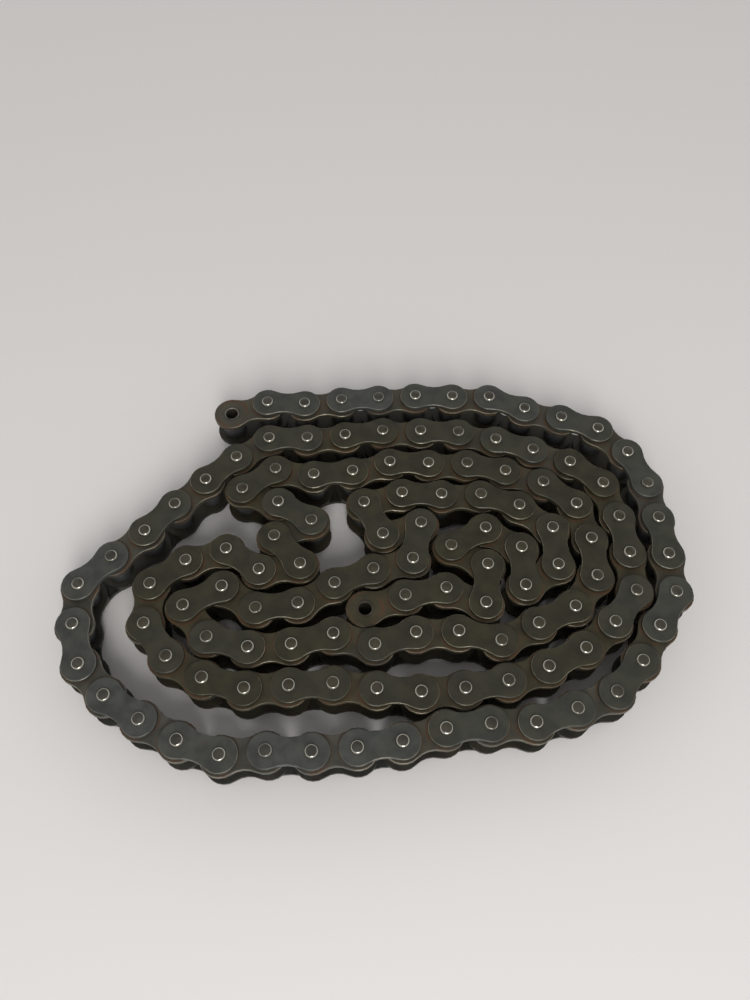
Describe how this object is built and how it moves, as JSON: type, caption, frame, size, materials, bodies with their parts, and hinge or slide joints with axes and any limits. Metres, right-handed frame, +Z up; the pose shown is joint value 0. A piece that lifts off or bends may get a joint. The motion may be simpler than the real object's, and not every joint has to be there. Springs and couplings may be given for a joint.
{
  "type": "roller chain",
  "caption": "Heavy roller chain of one-inch pitch lying on its side in an oblong coil, open bushes at both ends, its outer end free to swing.",
  "frame": {"origin": "centre of the coil's box, on the surface that the chain lies on", "axes": "+Z up along the pins, +X along the coil's long side, the free end at -X +Y"},
  "size_m": [0.3832, 0.2637, 0.0326],
  "materials": {
    "inner_plate": "blackened and oiled, a trace of rust",
    "outer_plate": "blackened and oiled",
    "pin": "ground, edge worn bright",
    "bush": "ground, oiled",
    "roller": "hardened and oiled, dark"
  },
  "bodies": {
    "coil": {"inner_link_119_top_plate": "inner_plate", "inner_link_119_bottom_plate": "inner_plate", "inner_link_119_outward_bush": "bush", "inner_link_119_inward_bush": "bush", "coil_outer_turn": "outer_plate", "coil_second_turn_back": "outer_plate", "coil_second_turn_front": "outer_plate", "coil_left_folds_and_third_turn_back": "outer_plate", "coil_third_turn_front": "outer_plate", "coil_innermost_folds": "outer_plate"},
    "link_001": {"inner_link_001_top_plate": "inner_plate", "inner_link_001_bottom_plate": "inner_plate", "inner_link_001_outward_bush": "bush", "inner_link_001_inward_bush": "bush"},
    "roller_001_outward": {"inner_link_001_outward_roller": "roller"},
    "roller_001_inward": {"inner_link_001_inward_roller": "roller"},
    "link_002": {"outer_link_002_top_plate": "outer_plate", "outer_link_002_bottom_plate": "outer_plate", "outer_link_002_outward_pin": "pin", "outer_link_002_inward_pin": "pin"},
    "link_003": {"inner_link_003_top_plate": "inner_plate", "inner_link_003_bottom_plate": "inner_plate", "inner_link_003_outward_bush": "bush", "inner_link_003_inward_bush": "bush"},
    "roller_003_outward": {"inner_link_003_outward_roller": "roller"},
    "roller_003_inward": {"inner_link_003_inward_roller": "roller"},
    "link_004": {"outer_link_004_top_plate": "outer_plate", "outer_link_004_bottom_plate": "outer_plate", "outer_link_004_outward_pin": "pin", "outer_link_004_inward_pin": "pin"},
    "link_005": {"inner_link_005_plates_and_bushes": "inner_plate"},
    "roller_005_outward": {"inner_link_005_outward_roller": "roller"},
    "roller_005_inward": {"inner_link_005_inward_roller": "roller"},
    "link_006": {"outer_link_006_plates_and_pins": "outer_plate"},
    "link_007": {"inner_link_007_plates_and_bushes": "inner_plate"},
    "roller_007_outward": {"inner_link_007_outward_roller": "roller"},
    "roller_007_inward": {"inner_link_007_inward_roller": "roller"},
    "link_008": {"outer_link_008_plates_and_pins": "outer_plate"},
    "link_009": {"inner_link_009_plates_and_bushes": "inner_plate"},
    "roller_009_outward": {"inner_link_009_outward_roller": "roller"},
    "roller_009_inward": {"inner_link_009_inward_roller": "roller"},
    "link_010": {"outer_link_010_plates_and_pins": "outer_plate"},
    "link_011": {"inner_link_011_plates_and_bushes": "inner_plate"},
    "roller_011_outward": {"inner_link_011_outward_roller": "roller"},
    "roller_011_inward": {"inner_link_011_inward_roller": "roller"},
    "link_012": {"outer_link_012_plates_and_pins": "outer_plate"},
    "link_013": {"inner_link_013_plates_and_bushes": "inner_plate"},
    "roller_013_outward": {"inner_link_013_outward_roller": "roller"},
    "roller_013_inward": {"inner_link_013_inward_roller": "roller"},
    "link_014": {"outer_link_014_plates_and_pins": "outer_plate"},
    "link_015": {"inner_link_015_plates_and_bushes": "inner_plate"},
    "roller_015_outward": {"inner_link_015_outward_roller": "roller"},
    "roller_015_inward": {"inner_link_015_inward_roller": "roller"},
    "link_016": {"outer_link_016_plates_and_pins": "outer_plate"},
    "link_017": {"inner_link_017_plates_and_bushes": "inner_plate"},
    "roller_017_outward": {"inner_link_017_outward_roller": "roller"},
    "roller_017_inward": {"inner_link_017_inward_roller": "roller"},
    "link_018": {"outer_link_018_plates_and_pins": "outer_plate"},
    "roller_119_outward": {"inner_link_119_outward_roller": "roller"},
    "roller_119_inward": {"inner_link_119_inward_roller": "roller"}
  },
  "joints": [
    {"name": "hinge_001", "type": "hinge", "parent": "link_002", "child": "link_001", "pos_m": [-0.07732, 0.11411, 0.0163], "axis": [0, 0, -1], "range_deg": [0, 59]},
    {"name": "hinge_002", "type": "hinge", "parent": "link_003", "child": "link_002", "pos_m": [-0.05193, 0.11367, 0.0163], "axis": [0, 0, 1], "range_deg": [-31, 0]},
    {"name": "hinge_003", "type": "hinge", "parent": "link_004", "child": "link_003", "pos_m": [-0.02677, 0.1172, 0.0163], "axis": [0, 0, -1], "range_deg": [0, 43]},
    {"name": "hinge_004", "type": "hinge", "parent": "link_005", "child": "link_004", "pos_m": [-0.00147, 0.11942, 0.0163], "axis": [0, 0, 1], "range_deg": [-40, 0]},
    {"name": "hinge_005", "type": "hinge", "parent": "link_006", "child": "link_005", "pos_m": [0.02383, 0.12163, 0.0163], "axis": [0, 0, -1], "range_deg": [0, 45]},
    {"name": "hinge_006", "type": "hinge", "parent": "link_007", "child": "link_006", "pos_m": [0.04923, 0.12163, 0.0163], "axis": [0, 0, 1], "range_deg": [-40, 0]},
    {"name": "hinge_007", "type": "hinge", "parent": "link_008", "child": "link_007", "pos_m": [0.07463, 0.12163, 0.0163], "axis": [0, 0, -1], "range_deg": [0, 61]},
    {"name": "hinge_008", "type": "hinge", "parent": "link_009", "child": "link_008", "pos_m": [0.09835, 0.11253, 0.0163], "axis": [0, 0, 1], "range_deg": [-34, 0]},
    {"name": "hinge_009", "type": "hinge", "parent": "link_010", "child": "link_009", "pos_m": [0.12288, 0.10595, 0.0163], "axis": [0, 0, -1], "range_deg": [0, 45]},
    {"name": "hinge_010", "type": "hinge", "parent": "link_011", "child": "link_010", "pos_m": [0.14675, 0.09727, 0.0163], "axis": [0, 0, 1], "range_deg": [-66, 0]},
    {"name": "hinge_011", "type": "hinge", "parent": "link_012", "child": "link_011", "pos_m": [0.16439, 0.079, 0.0163], "axis": [0, 0, -1], "range_deg": [0, 61]},
    {"name": "hinge_012", "type": "hinge", "parent": "link_013", "child": "link_012", "pos_m": [0.17432, 0.05562, 0.0163], "axis": [0, 0, 1], "range_deg": [-55, 0]},
    {"name": "hinge_013", "type": "hinge", "parent": "link_014", "child": "link_013", "pos_m": [0.17785, 0.03046, 0.0163], "axis": [0, 0, -1], "range_deg": [0, 42]},
    {"name": "hinge_014", "type": "hinge", "parent": "link_015", "child": "link_014", "pos_m": [0.18051, 0.0052, 0.0163], "axis": [0, 0, 1], "range_deg": [-44, 0]},
    {"name": "hinge_015", "type": "hinge", "parent": "link_016", "child": "link_015", "pos_m": [0.1814, -0.02018, 0.0163], "axis": [0, 0, -1], "range_deg": [0, 73]},
    {"name": "hinge_016", "type": "hinge", "parent": "link_017", "child": "link_016", "pos_m": [0.16831, -0.04195, 0.0163], "axis": [0, 0, 1], "range_deg": [-40, 0]},
    {"name": "hinge_017", "type": "hinge", "parent": "link_018", "child": "link_017", "pos_m": [0.15523, -0.06373, 0.0163], "axis": [0, 0, -1], "range_deg": [0, 52]},
    {"name": "hinge_018", "type": "hinge", "parent": "coil", "child": "link_018", "pos_m": [0.13791, -0.0823, 0.0163], "axis": [0, 0, 1], "range_deg": [-64, 0]},
    {"name": "roller_001_inward_spin", "type": "hinge", "parent": "link_001", "child": "roller_001_inward", "pos_m": [-0.07732, 0.11411, 0.0163], "axis": [0, 0, 1], "continuous": true},
    {"name": "roller_001_outward_spin", "type": "hinge", "parent": "link_001", "child": "roller_001_outward", "pos_m": [-0.10148, 0.10626, 0.0163], "axis": [0, 0, 1], "continuous": true},
    {"name": "roller_003_inward_spin", "type": "hinge", "parent": "link_003", "child": "roller_003_inward", "pos_m": [-0.02677, 0.1172, 0.0163], "axis": [0, 0, 1], "continuous": true},
    {"name": "roller_003_outward_spin", "type": "hinge", "parent": "link_003", "child": "roller_003_outward", "pos_m": [-0.05193, 0.11367, 0.0163], "axis": [0, 0, 1], "continuous": true},
    {"name": "roller_005_inward_spin", "type": "hinge", "parent": "link_005", "child": "roller_005_inward", "pos_m": [0.02383, 0.12163, 0.0163], "axis": [0, 0, 1], "continuous": true},
    {"name": "roller_005_outward_spin", "type": "hinge", "parent": "link_005", "child": "roller_005_outward", "pos_m": [-0.00147, 0.11942, 0.0163], "axis": [0, 0, 1], "continuous": true},
    {"name": "roller_007_inward_spin", "type": "hinge", "parent": "link_007", "child": "roller_007_inward", "pos_m": [0.07463, 0.12163, 0.0163], "axis": [0, 0, 1], "continuous": true},
    {"name": "roller_007_outward_spin", "type": "hinge", "parent": "link_007", "child": "roller_007_outward", "pos_m": [0.04923, 0.12163, 0.0163], "axis": [0, 0, 1], "continuous": true},
    {"name": "roller_009_inward_spin", "type": "hinge", "parent": "link_009", "child": "roller_009_inward", "pos_m": [0.12288, 0.10595, 0.0163], "axis": [0, 0, 1], "continuous": true},
    {"name": "roller_009_outward_spin", "type": "hinge", "parent": "link_009", "child": "roller_009_outward", "pos_m": [0.09835, 0.11253, 0.0163], "axis": [0, 0, 1], "continuous": true},
    {"name": "roller_011_inward_spin", "type": "hinge", "parent": "link_011", "child": "roller_011_inward", "pos_m": [0.16439, 0.079, 0.0163], "axis": [0, 0, 1], "continuous": true},
    {"name": "roller_011_outward_spin", "type": "hinge", "parent": "link_011", "child": "roller_011_outward", "pos_m": [0.14675, 0.09727, 0.0163], "axis": [0, 0, 1], "continuous": true},
    {"name": "roller_013_inward_spin", "type": "hinge", "parent": "link_013", "child": "roller_013_inward", "pos_m": [0.17785, 0.03046, 0.0163], "axis": [0, 0, 1], "continuous": true},
    {"name": "roller_013_outward_spin", "type": "hinge", "parent": "link_013", "child": "roller_013_outward", "pos_m": [0.17432, 0.05562, 0.0163], "axis": [0, 0, 1], "continuous": true},
    {"name": "roller_015_inward_spin", "type": "hinge", "parent": "link_015", "child": "roller_015_inward", "pos_m": [0.1814, -0.02018, 0.0163], "axis": [0, 0, 1], "continuous": true},
    {"name": "roller_015_outward_spin", "type": "hinge", "parent": "link_015", "child": "roller_015_outward", "pos_m": [0.18051, 0.0052, 0.0163], "axis": [0, 0, 1], "continuous": true},
    {"name": "roller_017_inward_spin", "type": "hinge", "parent": "link_017", "child": "roller_017_inward", "pos_m": [0.15523, -0.06373, 0.0163], "axis": [0, 0, 1], "continuous": true},
    {"name": "roller_017_outward_spin", "type": "hinge", "parent": "link_017", "child": "roller_017_outward", "pos_m": [0.16831, -0.04195, 0.0163], "axis": [0, 0, 1], "continuous": true},
    {"name": "roller_119_inward_spin", "type": "hinge", "parent": "coil", "child": "roller_119_inward", "pos_m": [-0.00711, -0.03351, 0.0163], "axis": [0, 0, 1], "continuous": true},
    {"name": "roller_119_outward_spin", "type": "hinge", "parent": "coil", "child": "roller_119_outward", "pos_m": [0.01705, -0.02566, 0.0163], "axis": [0, 0, 1], "continuous": true}
  ]
}
